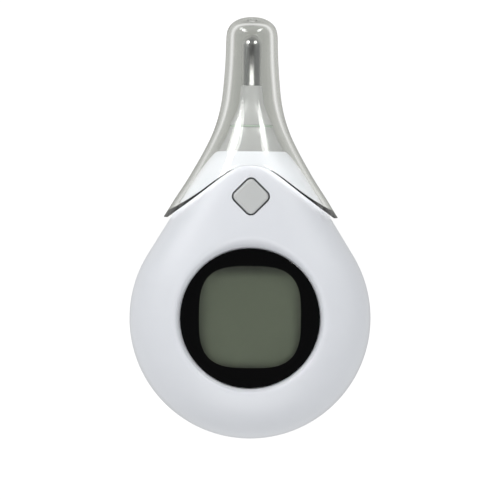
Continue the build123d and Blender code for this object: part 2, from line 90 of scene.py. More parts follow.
# Casing: the same pebble as the CAD model
BODY_R = 25.0
TAIL_ANGLE = math.radians(31.5)
WALL = 1.8
CAVITY_END_Y = 32.4
ROUNDNESS = 2.35
TAIL_PINCH_Y = 28.5
TAIL_PINCH = 0.027
OVAL_START_Y = 8.0
OVAL_END_Y = 34.4
FRONT_HEIGHT = ((0, 11.0), (5, 10.9), (10, 10.55), (15, 10.05), (20, 9.5), (25, 8.85), (30, 8.1), (34.4, 7.3))
REAR_HEIGHT = ((0, 10.6), (5, 10.5), (10, 10.2), (15, 9.75), (20, 9.2), (25, 8.6), (30, 8.0), (34.4, 7.3))
JOINT_EDGE = 0.12
REST_BLEND = 0.25

# Lens opening: its rim rolls down from a shallow cone
LENS_HOLE_R = LENS_R + 0.15
RIM_ROLL = 2.2
RIM_TURN = math.radians(60)
RIM_DEPTH = 0.2
RIM_OUTER_R = 20.5
RIM_OUTER_Z = 22.2
RIM_BLEND = 0.6
RIM_END_R = 17.4
LEDGE_R = 12.95
LEDGE_DEEP = 0.25
LEDGE_THICK = 1.1
LEDGE_FOOT_R = 16.8
WINDOW_HALF = 10.5
WINDOW_Y = 0.25
WINDOW_POWER = 3.2

# Diamond button
BUTTON_HALF = 2.88
BUTTON_HOLE_HALF = 3.18
BUTTON_CORNER = 1.1
BUTTON_RISE = 0.32
BUTTON_EDGE = 0.45
BUTTON_HOLE_EDGE = 0.22
FLANGE_HALF = BUTTON_HALF + 0.7
FLANGE_LOW = 15.25
FLANGE_HIGH = 15.95
SKIRT_LOW = 16.0
STEM_HALF = 1.2

# Back: battery door, its ear and the screw holes
DOOR_R = 12.4
DOOR_GAP = 0.15
DOOR_TOP = 1.58
DOOR_STEP = 1.2
RECESS_DEPTH = 1.6
EAR_R = 3.1
WELL_R = 10.4
WELL_TOP = 6.4
WELL_WALL = 1.6
EAR_TOWER_R = 4.4
EAR_TOWER_TOP = 6.6
THREAD_R = 1.0
THREAD_TOP = 5.8
SHANK_R = 1.1
HEAD_SEAT_DEPTH = 0.9
CASE_SCREWS = ((17.5, -8.0), (-17.5, -8.0), (10.6, 19.6), (-10.6, 19.6))
SCREW_TOWER_R = 2.7
SCREW_TOWER_TOP = 8.0
HEAD_BORE_R = 2.0
HEAD_BORE_TOP = 4.9
GROOVES = 5
GROOVE_HALF = 0.25
GROOVE_PITCH = 0.95
GROOVE_LENGTH = 8.0
GROOVE_SHORTER = 1.2

# Clear cap
CAP_WIDTH = (
    (18.0, 20.0), (21.6, 17.65), (24.9, 15.6), (28.2, 13.45), (31.5, 11.5), (34.9, 9.62),
    (38.2, 8.05), (41.5, 6.93), (44.8, 6.24), (48.1, 5.86), (53.1, 5.5), (58.0, 5.35),
)
CAP_FRONT_HEIGHT = (
    (18.0, 11.1), (21.6, 10.65), (24.9, 10.2), (28.2, 9.75), (31.5, 9.2), (34.9, 8.55),
    (38.2, 7.75), (41.5, 6.9), (44.8, 6.24), (48.1, 5.86), (53.1, 5.5), (58.0, 5.35),
)
CAP_REAR_HEIGHT = (
    (18.0, 10.8), (21.6, 10.4), (24.9, 9.98), (28.2, 9.57), (31.5, 9.15), (34.9, 8.55),
    (38.2, 7.75), (41.5, 6.9), (44.8, 6.24), (48.1, 5.86), (53.1, 5.5), (58.0, 5.35),
)
CAP_RIM = (
    (0, 31.6), (2.4, 31.2), (4.8, 29.95), (7.05, 28.35),
    (10.4, 25.75), (13.7, 23.3), (17.0, 21.0), (19.5, 19.3),
)
CAP_CORNER_Y = 20.8
CAP_WALL_FLARE = 1.0
CAP_WALL_TIP = 1.5
CAP_NOSE = (
    (58.0, 5.35), (58.9, 5.25), (59.8, 5.05), (60.6, 4.6),
    (61.4, 3.8), (62.0, 2.7), (62.3, 1.6), (62.4, 0.9),
)
CAP_INNER_NOSE = ((58.0, 3.85), (59.0, 3.78), (59.7, 3.52), (60.3, 2.95), (60.7, 2.05), (60.9, 0.9))
CAP_TUBE_Y = CAP_NOSE[0][0]
CAP_EDGE = 0.22
CAP_STRAIGHT_Y = 38.0
CAP_SLOPE_FADE = 6.0
CAP_THICKEN_Y = 34.0
CAP_THICKEN_LENGTH = 12.0

# Probe
COLLAR_FOOT_Y = 34.3
COLLAR_END_Y = 39.5
HOLDER_START_Y = 39.9
HOLDER_END_Y = 48.1
SPIGOT_Y = 37.6
TIP_SLEEVE_Y = 46.65
TIP_SHELL = 0.25

# Viewpoint: straight above, far back, rolled a little
VIEW_WIDTH = 103.73 * MM
VIEW_DISTANCE = 1.3
VIEW_ROLL = math.radians(0.42)
VIEW_REACH = 14.11 * MM
SENSOR = 36.0


# ---------------------------------------------------------------- shape formulas

def smooth(table, at):
    """Cubic interpolation through a table of (position, value) pairs."""
    last = len(table) - 1
    if at <= table[0][0]:
        return table[0][1]
    if at >= table[last][0]:
        return table[last][1]
    i = max(k for k in range(last) if table[k][0] <= at)
    slopes = []
    for k in (i, i + 1):
        a = table[max(k - 1, 0)]
        b = table[min(k + 1, last)]
        slopes.append((b[1] - a[1]) / (b[0] - a[0]))
    x0, y0 = table[i]
    x1, y1 = table[i + 1]
    d = x1 - x0
    t = (at - x0) / d
    start = y0 * (2 * t**3 - 3 * t**2 + 1) + slopes[0] * d * (t**3 - 2 * t**2 + t)
    end = y1 * (3 * t**2 - 2 * t**3) + slopes[1] * d * (t**3 - t**2)
    return start + end


def clamp(value, low, high):
    return min(max(value, low), high)


def soft_min(a, b, blend):
    """The lower of two heights, rounded off where they cross."""
    h = clamp(0.5 + 0.5 * (b - a) / blend, 0.0, 1.0)
    return b * (1 - h) + a * h - blend * h * (1 - h)


def soft_max(a, b, blend):
    return -soft_min(-a, -b, blend)


def case_width(y, inset=0.0):
    """Half the casing's width: a circle, then straight flanks pinched in at the tail."""
    r = BODY_R - inset
    if y <= r * math.sin(TAIL_ANGLE):
        return math.sqrt(max(r * r - y * y, 0.0))
    w = (r - y * math.sin(TAIL_ANGLE)) / math.cos(TAIL_ANGLE)
    if y > TAIL_PINCH_Y:
        w -= TAIL_PINCH * (y - TAIL_PINCH_Y) ** 2
    return w


def case_power(y):
    """How square the casing's section is: a plain ellipse from OVAL_END_Y on."""
    share = clamp((y - OVAL_START_Y) / (OVAL_END_Y - OVAL_START_Y), 0.0, 1.0)
    return ROUNDNESS + (2.0 - ROUNDNESS) * share


def case_height(x, y, table, inset=0.0):
    """Height of the casing surface above the parting plane."""
    power = case_power(y)
    r = BODY_R - inset
    ratio = math.hypot(x, y) / r if y < 0 else abs(x) / max(case_width(y, inset), 1e-6)
    ratio = min(ratio, 1.0)
    return (smooth(table, max(y, 0.0)) - inset) * (1 - ratio**power) ** (1 / power)


def lip_height(r):
    """Rim that rolls down to the lens: an arc, then a straight slope."""
    base = LENS_LOW.z - RIM_DEPTH
    end_r = LENS_HOLE_R + RIM_ROLL * (1 - math.cos(RIM_TURN))
    end_z = base + RIM_ROLL * math.sin(RIM_TURN)
    if r <= LENS_HOLE_R:
        return base
    if r < end_r:
        return base + math.sqrt(max(RIM_ROLL**2 - (LENS_HOLE_R + RIM_ROLL - r) ** 2, 0.0))
    return end_z + (r - end_r) * (RIM_OUTER_Z - end_z) / (RIM_OUTER_R - end_r)


def front_surface(x, y):
    """Front of the casing, with the rim of the lens opening rolled into it."""
    dome = AXIS_Z + case_height(x, y, FRONT_HEIGHT)
    r = math.hypot(x, y)
    return soft_min(dome, lip_height(r), RIM_BLEND) if r < RIM_OUTER_R else dome


def rear_surface(x, y):
    """Back of the casing, flattened where it rests."""
    return soft_max(AXIS_Z - case_height(x, y, REAR_HEIGHT), 0.0, REST_BLEND)


def outline_reach(turn, inset, end_y):
    """Distance from the origin to the casing's outline in a direction."""
    low, high = 0.0, 60.0
    for _ in range(40):
        middle = (low + high) / 2
        x = middle * math.cos(turn)
        y = middle * math.sin(turn)
        inside = y < end_y and abs(y) < 60 and abs(x) < case_width(y, inset)
        if y < -(BODY_R - inset):
            inside = False
        low, high = (middle, high) if inside else (low, middle)
    return low


# ---------------------------------------------------------------- mesh helpers

def around(count):
    """Evenly spaced directions in a full turn."""
    return [2 * math.pi * k / count for k in range(count)]


def level_ring(turns, r, z, x=0.0, y=0.0):
    return [(x + r * math.cos(t), y + r * math.sin(t), z) for t in turns]


def axis_ring(turns, r, y):
    """Ring round the probe's axis."""
    return [(r * math.cos(t), y, AXIS_Z + r * math.sin(t)) for t in turns]


def back_ring(turns, r, y):
    """Ring that follows the casing's back, centred at y."""
    return [(px, py, rear_surface(px, py)) for px, py, _ in level_ring(turns, r, 0.0, 0.0, y)]


def finish_mesh(name, vertices, faces, material, sharp=38.0):
    """Mesh object from millimetre vertices, cleaned and smooth-shaded."""
    mesh = bpy.data.meshes.new(name)
    mesh.from_pydata([tuple(c * MM for c in v) for v in vertices], [], faces)
    work = bmesh.new()
    work.from_mesh(mesh)
    bmesh.ops.remove_doubles(work, verts=work.verts, dist=2e-6)
    bmesh.ops.dissolve_degenerate(work, dist=1e-6, edges=work.edges)
    bmesh.ops.recalc_face_normals(work, faces=work.faces)
    work.to_mesh(mesh)
    work.free()
    mesh.shade_smooth()
    mesh.set_sharp_from_angle(angle=math.radians(sharp))
    piece = bpy.data.objects.new(name, mesh)
    bpy.context.scene.collection.objects.link(piece)
    if material:
        mesh.materials.append(material)
    return piece


def skin(name, rings, material, closed=False, ends=(False, False), sharp=38.0):
    """Surface over rings of equal length; closed joins last to first, ends are fans."""
    count = len(rings[0])
    vertices = [p for ring in rings for p in ring]
    faces = []
    last = len(rings) if closed else len(rings) - 1
    for i in range(last):
        a = i * count
        b = ((i + 1) % len(rings)) * count
        for k in range(count):
            n = (k + 1) % count
            faces.append((a + k, a + n, b + n, b + k))
    for wanted, i in zip(ends, (0, len(rings) - 1)):
        if wanted:
            centre = [sum(p[c] for p in rings[i]) / count for c in range(3)]
            vertices.append(tuple(centre))
            middle = len(vertices) - 1
            for k in range(count):
                faces.append((i * count + k, i * count + (k + 1) % count, middle))
    return finish_mesh(name, vertices, faces, material, sharp)


def about_probe(name, profile, material, steps=128):
    """Hollow turned piece round the probe's axis from a closed outline of (radius, y) points."""
    return skin(name, [axis_ring(around(steps), r, y) for r, y in profile], material, closed=True)


def about_z(name, profile, material, x=0.0, y=0.0, steps=96):
    """Turned piece round a vertical axis from (radius, z) points."""
    turns = around(steps)
    rings = [level_ring(turns, r, z, x, y) for r, z in profile]
    return skin(name, rings, material, ends=(True, True))


def cylinder(name, radius, low, high, x, y, steps=64):
    return about_z(name, [(radius, low), (radius, high)], None, x, y, steps)


def rounded(corners, radius, steps=5):
    """Profile points with each inner corner rounded by an arc of about radius."""
    points = [corners[0]]
    for before, corner, after in zip(corners, corners[1:], corners[2:]):
        c = Vector(corner)
        a = Vector(before) - c
        b = Vector(after) - c
        reach = min(radius, a.length / 2, b.length / 2)
        start = c + a.normalized() * reach
        end = c + b.normalized() * reach
        for k in range(steps + 1):
            t = k / steps
            p = start * (1 - t) ** 2 + c * 2 * t * (1 - t) + end * t**2
            points.append((p.x, p.y))
    points.append(corners[-1])
    return points


def diamond_loop(half, corner, steps=10, flats=5):
    """Closed loop of a rounded square turned through 45 degrees, as (x, y, nx, ny)."""
    reach = (half - corner) * math.sqrt(2)
    turned = []
    for side in range(4):
        middle = math.pi / 2 * side
        for k in range(steps + 1):
            a = middle + math.pi / 2 * (k / steps - 0.5)
            nx = math.cos(a)
            ny = math.sin(a)
            x = reach * math.cos(middle) + corner * nx
            y = reach * math.sin(middle) + corner * ny
            turned.append((x, y, nx, ny))
    loop = []
    for here, after in zip(turned, turned[1:] + turned[:1]):
        loop.append(here)
        if abs(here[2] - after[2]) + abs(here[3] - after[3]) < 1e-6:
            for k in range(1, flats):
                loop.append(tuple(a + (b - a) * k / flats for a, b in zip(here, after)))
    return loop


def boolean(piece, cutter, operation="DIFFERENCE"):
    """Applies a boolean and removes the cutter."""
    modifier = piece.modifiers.new("cut", "BOOLEAN")
    modifier.object = cutter
    modifier.operation = operation
    modifier.solver = "EXACT"
    graph = bpy.context.evaluated_depsgraph_get()
    mesh = bpy.data.meshes.new_from_object(piece.evaluated_get(graph))
    piece.modifiers.clear()
    old = piece.data
    piece.data = mesh
    bpy.data.meshes.remove(old)
    bpy.data.objects.remove(cutter)
    piece.data.shade_smooth()
    piece.data.set_sharp_from_angle(angle=math.radians(38))


# ---------------------------------------------------------------- materials

def new_material(name, color, roughness, metallic=0.0, **inputs):
    """Principled material with its plain values on the shader's own sockets."""
    material = bpy.data.materials.new(name)
    material.use_nodes = True
    shader = material.node_tree.nodes["Principled BSDF"]
    shader.inputs["Base Color"].default_value = (*color, 1.0)
    shader.inputs["Roughness"].default_value = roughness
    shader.inputs["Metallic"].default_value = metallic
    for key, value in inputs.items():
        shader.inputs[key.replace("_", " ")].default_value = value
    return material


def add_grain(material, scale, depth, rough=(0.0, 0.0), tint=0.0, detail=4.0, stretch=(1, 1, 1)):
    """Fine mould grain as bump, with slight changes of gloss and shade."""
    tree = material.node_tree
    nodes = tree.nodes
    links = tree.links
    shader = nodes["Principled BSDF"]
    place = nodes.new("ShaderNodeTexCoord")
    mapping = nodes.new("ShaderNodeMapping")
    mapping.inputs["Scale"].default_value = stretch
    links.new(place.outputs["Object"], mapping.inputs["Vector"])
    fine = nodes.new("ShaderNodeTexNoise")
    fine.inputs["Scale"].default_value = scale
    fine.inputs["Detail"].default_value = detail
    links.new(mapping.outputs["Vector"], fine.inputs["Vector"])
    bump = nodes.new("ShaderNodeBump")
    bump.inputs["Strength"].default_value = 0.35
    bump.inputs["Distance"].default_value = depth
    links.new(fine.outputs["Fac"], bump.inputs["Height"])
    links.new(bump.outputs["Normal"], shader.inputs["Normal"])
    broad = nodes.new("ShaderNodeTexNoise")
    broad.inputs["Scale"].default_value = scale / 18
    broad.inputs["Detail"].default_value = 2.0
    links.new(mapping.outputs["Vector"], broad.inputs["Vector"])
    if rough[1] > rough[0]:
        gloss = nodes.new("ShaderNodeMapRange")
        gloss.inputs["From Min"].default_value = 0.3
        gloss.inputs["From Max"].default_value = 0.7
        gloss.inputs["To Min"].default_value = rough[0]
        gloss.inputs["To Max"].default_value = rough[1]
        links.new(broad.outputs["Fac"], gloss.inputs["Value"])
        links.new(gloss.outputs["Result"], shader.inputs["Roughness"])
    if tint:
        base = shader.inputs["Base Color"].default_value[:]
        ramp = nodes.new("ShaderNodeValToRGB")
        ramp.color_ramp.elements[0].position = 0.3
        ramp.color_ramp.elements[0].color = tuple(c * (1 - tint) for c in base[:3]) + (1.0,)
        ramp.color_ramp.elements[1].position = 0.7
        ramp.color_ramp.elements[1].color = base
        links.new(broad.outputs["Fac"], ramp.inputs["Fac"])
        links.new(ramp.outputs["Color"], shader.inputs["Base Color"])
    return material


# Painted shade on the display panel's sides, standing in for the shadow that the window's black print casts
# on the recessed panel: axis, sign, start and end in metres, shade
LCD_PAINTED_SHADE = (
    ("X", 1, 0.0080, 0.0103, 0.7), ("X", -1, 0.0080, 0.0103, 0.7),
    ("Y", 1, 0.0080, 0.0105, 0.4), ("Y", -1, 0.0093, 0.0103, 0.7),
)


def paint_border_shade(material, sides):
    """Paints shade into the base colour towards each (axis, sign, start, end, shade) side of a panel, in
    place of a cast shadow.
    """
    tree = material.node_tree
    shader = tree.nodes["Principled BSDF"]
    base = shader.inputs["Base Color"].links[0].from_socket
    place = tree.nodes.new("ShaderNodeTexCoord")
    split = tree.nodes.new("ShaderNodeSeparateXYZ")
    tree.links.new(place.outputs["Object"], split.inputs["Vector"])
    for axis, sign, start, end, shade in sides:
        fade = tree.nodes.new("ShaderNodeMapRange")
        fade.interpolation_type = "SMOOTHSTEP"
        fade.inputs["From Min"].default_value = sign * start
        fade.inputs["From Max"].default_value = sign * end
        fade.inputs["To Min"].default_value = 1.0
        fade.inputs["To Max"].default_value = shade
        tree.links.new(split.outputs[axis], fade.inputs["Value"])
        dim = tree.nodes.new("ShaderNodeVectorMath")
        dim.operation = "SCALE"
        tree.links.new(base, dim.inputs[0])
        tree.links.new(fade.outputs["Result"], dim.inputs["Scale"])
        base = dim.outputs["Vector"]
    tree.links.new(base, shader.inputs["Base Color"])


def make_materials():
    made = {}
    made["white"] = add_grain(
        new_material("white_abs", (0.80, 0.815, 0.85), 0.36, Specular_IOR_Level=0.5),
        5200.0, 0.000012, rough=(0.33, 0.39), tint=0.012)
    made["grey"] = add_grain(
        new_material("grey_abs", (0.58, 0.59, 0.58), 0.4),
        5200.0, 0.000012, rough=(0.36, 0.44), tint=0.02)
    made["neck"] = add_grain(
        new_material("grey_neck", (0.44, 0.445, 0.435), 0.16),
        3800.0, 0.000006, rough=(0.13, 0.19), tint=0.02)
    made["lens"] = new_material("clear_window", (1, 1, 1), 0.02, Transmission_Weight=1.0, IOR=1.49)
    add_grain(made["lens"], 900.0, 0.0000006, rough=(0.015, 0.03))
    made["black"] = add_grain(
        new_material("black_print", (0.0015, 0.0016, 0.002), 0.7, Specular_IOR_Level=0.03),
        4000.0, 0.000002, rough=(0.64, 0.76), tint=0.1)
    made["lcd"] = add_grain(
        new_material("reflective_lcd", (0.070, 0.083, 0.056), 0.5, Specular_IOR_Level=0.25),
        7000.0, 0.000004, rough=(0.46, 0.55), tint=0.03)
    # painted shadow of the window's black print along the panel's edges, darkest at the top
    paint_border_shade(made["lcd"], LCD_PAINTED_SHADE)
    made["cap"] = new_material("clear_cap", (0.90, 0.905, 0.89), 0.03, Transmission_Weight=1.0, IOR=1.57)
    add_grain(made["cap"], 420.0, 0.0000015, rough=(0.02, 0.045))
    made["steel"] = add_grain(
        new_material("satin_steel", (0.74, 0.74, 0.72), 0.2, metallic=1.0),
        3200.0, 0.000006, rough=(0.2, 0.34), tint=0.4, stretch=(1, 0.04, 1))
    made["seal"] = add_grain(
        new_material("seal_rubber", (0.5, 0.58, 0.5), 0.55),
        3000.0, 0.00002, rough=(0.5, 0.62), tint=0.06)
    made["silicone"] = add_grain(
        new_material("silicone", (0.72, 0.72, 0.70), 0.5, Subsurface_Weight=0.2),
        2500.0, 0.00002, rough=(0.45, 0.58), tint=0.04)
    made["board"] = add_grain(
        new_material("solder_mask", (0.015, 0.16, 0.05), 0.35),
        1500.0, 0.00002, rough=(0.28, 0.42), tint=0.25)
    made["resin_black"] = add_grain(
        new_material("glob_top", (0.012, 0.012, 0.013), 0.25),
        1800.0, 0.00002, rough=(0.2, 0.35), tint=0.2)
    made["chips"] = add_grain(
        new_material("ceramic_chips", (0.32, 0.22, 0.12), 0.5),
        3500.0, 0.00001, rough=(0.4, 0.6), tint=0.2)
    made["moulded_black"] = add_grain(
        new_material("moulded_black", (0.02, 0.02, 0.022), 0.5),
        3500.0, 0.00002, rough=(0.42, 0.58), tint=0.15)
    made["natural"] = add_grain(
        new_material("natural_moulding", (0.68, 0.68, 0.65), 0.5),
        3500.0, 0.00002, rough=(0.45, 0.58), tint=0.04)
    made["foam"] = add_grain(
        new_material("foam_tape", (0.05, 0.05, 0.05), 0.85),
        6000.0, 0.00005, rough=(0.8, 0.95), tint=0.2)
    made["stripes"] = striped_rubber()
    made["resin"] = add_grain(
        new_material("amber_resin", (0.34, 0.22, 0.08), 0.3),
        1500.0, 0.00001, rough=(0.22, 0.4), tint=0.15)
    made["bead"] = add_grain(
        new_material("glass_bead", (0.03, 0.03, 0.035), 0.15),
        2500.0, 0.00001, rough=(0.1, 0.25), tint=0.1)
    made["wire"] = add_grain(
        new_material("enamelled_wire", (0.42, 0.05, 0.02), 0.35),
        4000.0, 0.00001, rough=(0.3, 0.45), tint=0.15)
    made["cell"] = add_grain(
        new_material("nickel_can", (0.66, 0.65, 0.62), 0.25, metallic=1.0), 1200.0, 0.00001,
        rough=(0.2, 0.34), tint=0.08, stretch=(1, 6, 1))
    made["spring"] = add_grain(
        new_material("plated_strip", (0.75, 0.6, 0.3), 0.28, metallic=1.0), 2200.0, 0.00001,
        rough=(0.22, 0.36), tint=0.1, stretch=(4, 1, 1))
    made["screw"] = add_grain(
        new_material("zinc_screw", (0.6, 0.6, 0.61), 0.3, metallic=1.0), 2600.0, 0.00001,
        rough=(0.24, 0.4), tint=0.1)
    return made


def striped_rubber():
    """Contact strip: fine bands of black carbon and pale rubber along X."""
    material = new_material("striped_rubber", (0.1, 0.1, 0.1), 0.7)
    tree = material.node_tree
    shader = tree.nodes["Principled BSDF"]
    place = tree.nodes.new("ShaderNodeTexCoord")
    wave = tree.nodes.new("ShaderNodeTexWave")
    wave.inputs["Scale"].default_value = 1200.0
    ramp = tree.nodes.new("ShaderNodeValToRGB")
    ramp.color_ramp.elements[0].color = (0.015, 0.015, 0.015, 1)
    ramp.color_ramp.elements[1].color = (0.45, 0.42, 0.4, 1)
    tree.links.new(place.outputs["Object"], wave.inputs["Vector"])
    tree.links.new(wave.outputs["Fac"], ramp.inputs["Fac"])
    tree.links.new(ramp.outputs["Color"], shader.inputs["Base Color"])
    return material


# ---------------------------------------------------------------- casing

def directions(steps):
    """Directions round the origin, with the casing's tail corners among them."""
    turns = around(steps)
    for inset, end_y in ((0.0, CASE_END_Y), (WALL, CAVITY_END_Y)):
        corner = math.atan2(end_y, case_width(end_y, inset))
        turns += [corner, math.pi - corner]
    return sorted(turns)


def ring_at(turns, reaches, height):
    """Ring of points from a distance in each direction and a height function."""
    ring = []
    for turn, reach in zip(turns, reaches):
        x = reach * math.cos(turn)
        y = reach * math.sin(turn)
        ring.append((x, y, height(x, y)))
    return ring


def between(start, reaches, share):
    """Distances part of the way from one radius to an outline."""
    return [start + (reach - start) * share for reach in reaches]


def case_outlines():
    """Directions, and the distances to the casing's outline and to its inner wall."""
    turns = directions(420)
    outer = [outline_reach(t, 0.0, CASE_END_Y) for t in turns]
    inner = [outline_reach(t, WALL, CAVITY_END_Y) for t in turns]
    return turns, outer, inner


def front_case(material):
    """Front moulding as one closed skin: outside, lens opening, ledge and inside."""
    turns, outer, inner = case_outlines()
    rings = []
    rings.append(ring_at(turns, [r - JOINT_EDGE for r in outer], lambda x, y: AXIS_Z))
    rings.append(ring_at(turns, outer, lambda x, y: AXIS_Z + JOINT_EDGE))
    steps = 56
    for k in range(steps):
        share = math.sin(math.pi / 2 * (1 - k / steps)) ** (2 / ROUNDNESS)
        reaches = between(RIM_END_R, outer, share)
        rings.append(ring_at(turns, reaches, lambda x, y: max(front_surface(x, y), AXIS_Z + JOINT_EDGE)))
    steps = 18
    for k in range(steps + 1):
        r = RIM_END_R + (LENS_HOLE_R - RIM_END_R) * (k / steps) ** 0.85
        rings.append(ring_at(turns, [r] * len(turns), front_surface))
    ledge_top = MASK_LOW.z - LEDGE_DEEP
    ledge_low = ledge_top - LEDGE_THICK
    ledge = ((LENS_HOLE_R, ledge_top), (LEDGE_R, ledge_top), (LEDGE_R, ledge_low), (LEDGE_FOOT_R, ledge_low))
    for r, z in ledge:
        rings.append(level_ring(turns, r, z))
    steps = 11
    for k in range(steps + 1):
        share = math.sin(math.pi / 2 * k / steps) ** (2 / ROUNDNESS)
        reaches = between(LEDGE_FOOT_R + 0.4, inner, share)
        rings.append(ring_at(turns, reaches, lambda x, y: AXIS_Z + case_height(x, y, FRONT_HEIGHT, WALL)))
    rings.append(ring_at(turns, inner, lambda x, y: AXIS_Z))
    piece = skin("front_casing", rings, material, closed=True, sharp=30)
    boolean(piece, button_cutter())
    return piece


def button_cutter():
    """Diamond prism whose mouth flares, so that the opening gets a small rounded edge."""
    loop = diamond_loop(BUTTON_HOLE_HALF, BUTTON_CORNER + 0.3)
    steps = [(0.0, -BUTTON_HOLE_EDGE)]
    for degrees in (18, 36, 54, 72, 84):
        a = math.radians(degrees)
        steps.append((BUTTON_HOLE_EDGE * (1 - math.cos(a)), -BUTTON_HOLE_EDGE * (1 - math.sin(a))))
    steps += [(BUTTON_HOLE_EDGE * 1.1, 0.15), (BUTTON_HOLE_EDGE * 1.1, 1.5)]
    rings = [[(x, BUTTON_Y + y, 12.0) for x, y, _, _ in loop]]
    for offset, rise in steps:
        mouth = [(x + nx * offset, BUTTON_Y + y + ny * offset) for x, y, nx, ny in loop]
        rings.append([(x, y, front_surface(x, y) + rise) for x, y in mouth])
    return skin("button_cutter", rings, None, ends=(True, True))


def tower(x, y, radius, top):
    """Post that grows out of the rear wall."""
    high = level_ring(around(64), radius, top, x, y)
    low = [(px, py, rear_surface(px, py) + 0.5) for px, py, _ in high]
    return skin("tower", [low, high], None, ends=(True, True))


def rear_case(material):
    """Rear moulding: a closed shell with the battery well, door recess and screw holes cut in."""
    turns, outer, inner = case_outlines()
    rings = []
    steps = 60
    for k in range(steps):
        share = math.sin(math.pi / 2 * (k + 1) / steps) ** (2 / ROUNDNESS)
        reaches = between(0.0, outer, share)
        rings.append(ring_at(turns, reaches, lambda x, y: min(rear_surface(x, y), AXIS_Z - JOINT_EDGE)))
    rings.append(ring_at(turns, outer, lambda x, y: AXIS_Z - JOINT_EDGE))
    rings.append(ring_at(turns, [r - JOINT_EDGE for r in outer], lambda x, y: AXIS_Z))
    rings.append(ring_at(turns, inner, lambda x, y: AXIS_Z))
    steps = 24
    for k in range(steps):
        share = math.sin(math.pi / 2 * (1 - k / steps)) ** (2 / ROUNDNESS)
        reaches = between(0.0, inner, share)
        rings.append(ring_at(turns, reaches, lambda x, y: AXIS_Z - case_height(x, y, REAR_HEIGHT, WALL)))
    piece = skin("rear_casing", rings, material, ends=(True, True), sharp=30)
    add_posts(piece)
    cut_back(piece)
    return piece


def add_posts(piece):
    """Wall round the cell, post for the door's screw and posts for the case screws."""
    boolean(piece, cylinder("well", WELL_R + WELL_WALL, 1.0, WELL_TOP + 1.0, 0, CELL_Y, 120), "UNION")
    boolean(piece, tower(0, EAR_Y, EAR_TOWER_R, EAR_TOWER_TOP), "UNION")
    for x, y in CASE_SCREWS:
        boolean(piece, tower(x, y, SCREW_TOWER_R, SCREW_TOWER_TOP), "UNION")


def cut_back(piece):
    """Door recess, cell well, door screw's thread and the case screws' bores."""
    boolean(piece, cylinder("recess", DOOR_R + DOOR_GAP, -1.0, RECESS_DEPTH, 0, CELL_Y, 200))
    boolean(piece, cylinder("ear", EAR_R + DOOR_GAP, -1.0, RECESS_DEPTH, 0, EAR_Y, 96))
    boolean(piece, cylinder("cell_well", WELL_R, 0.5, WELL_TOP, 0, CELL_Y, 200))
    boolean(piece, cylinder("thread", THREAD_R, 0.5, THREAD_TOP, 0, EAR_Y, 48))
    for x, y in CASE_SCREWS:
        boolean(piece, cylinder("bore", HEAD_BORE_R, -1.0, HEAD_BORE_TOP, x, y))


def superellipse(half, power, turn):
    """Distance to a rounded square's outline in a direction."""
    c = abs(math.cos(turn))
    s = abs(math.sin(turn))
    return half / (c**power + s**power) ** (1 / power)


def display(materials):
    """Window disc, the black print under it and the panel behind."""
    section = [(0.01, LENS_LOW.z), (LENS_R, LENS_LOW.z), (LENS_R, LENS_HIGH.z), (0.01, LENS_HIGH.z)]
    lens = about_z("window_disc", rounded(section, 0.12), materials["lens"], steps=256)
    turns = around(360)
    window = []
    for t in turns:
        reach = superellipse(WINDOW_HALF, WINDOW_POWER, t)
        window.append((reach * math.cos(t), WINDOW_Y + reach * math.sin(t)))
    rings = [level_ring(turns, LENS_R, z) for z in (MASK_LOW.z, MASK_HIGH.z)]
    rings += [[(x, y, z) for x, y in window] for z in (MASK_HIGH.z, MASK_LOW.z)]
    mask = skin("window_print", rings, materials["black"], closed=True)
    return lens, mask


def button_cap(material):
    """Diamond button: softly domed top, rounded edge, skirt and stem."""
    flat_half = BUTTON_HALF - BUTTON_EDGE
    profile = [(share * flat_half, 0.0) for share in (0.02, 0.2, 0.4, 0.6, 0.75, 0.88)]
    for degrees in (90, 75, 60, 45, 30, 15, 0):
        a = math.radians(degrees)
        profile.append((flat_half + BUTTON_EDGE * math.cos(a), -BUTTON_EDGE * (1 - math.sin(a))))
    rings = []
    for half, drop in profile:
        corner = BUTTON_CORNER * clamp(half / BUTTON_HALF, 0.02, 1.0)
        ring = []
        for x, y, _, _ in diamond_loop(half, corner):
            surface = AXIS_Z + case_height(x, BUTTON_Y + y, FRONT_HEIGHT) + BUTTON_RISE
            ring.append((x, BUTTON_Y + y, surface + drop))
        rings.append(ring)
    lower = (
        (BUTTON_HALF, BUTTON_CORNER, SKIRT_LOW),
        (FLANGE_HALF, BUTTON_CORNER + 0.3, FLANGE_HIGH), (FLANGE_HALF, BUTTON_CORNER + 0.3, FLANGE_LOW),
        (STEM_HALF, STEM_HALF - 0.05, FLANGE_LOW), (STEM_HALF, STEM_HALF - 0.05, STEM_LOW),
    )
    for half, corner, z in lower:
        rings.append([(x, BUTTON_Y + y, z) for x, y, _, _ in diamond_loop(half, corner)])
    return skin("diamond_button", rings, material, ends=(True, True), sharp=40)


def battery_door(material):
    """Door that carries on the casing's back, with a finger grip and an ear for its screw."""
    turns = around(240)
    rings = [back_ring(turns, DOOR_R * (k + 1) / 24, CELL_Y) for k in range(24)]
    rings += [level_ring(turns, r, DOOR_TOP, 0.0, CELL_Y) for r in (DOOR_R, DOOR_R - DOOR_STEP)]
    piece = skin("battery_cover", rings, material, ends=(True, True), sharp=30)
    turns = around(96)
    ear = [back_ring(turns, EAR_R * (k + 1) / 8, EAR_Y) for k in range(8)]
    ear.append(level_ring(turns, EAR_R, DOOR_TOP, 0.0, EAR_Y))
    boolean(piece, skin("ear", ear, None, ends=(True, True)), "UNION")
    boolean(piece, cylinder("head_seat", HEAD_BORE_R, -1.0, HEAD_SEAT_DEPTH, 0, EAR_Y))
    boolean(piece, cylinder("shank", SHANK_R, -1.0, 3.0, 0, EAR_Y, 48))
    for k in range(GROOVES):
        boolean(piece, grip_groove(GROOVE_LENGTH - GROOVE_SHORTER * k, CELL_Y + 6.0 + GROOVE_PITCH * k))
    return piece


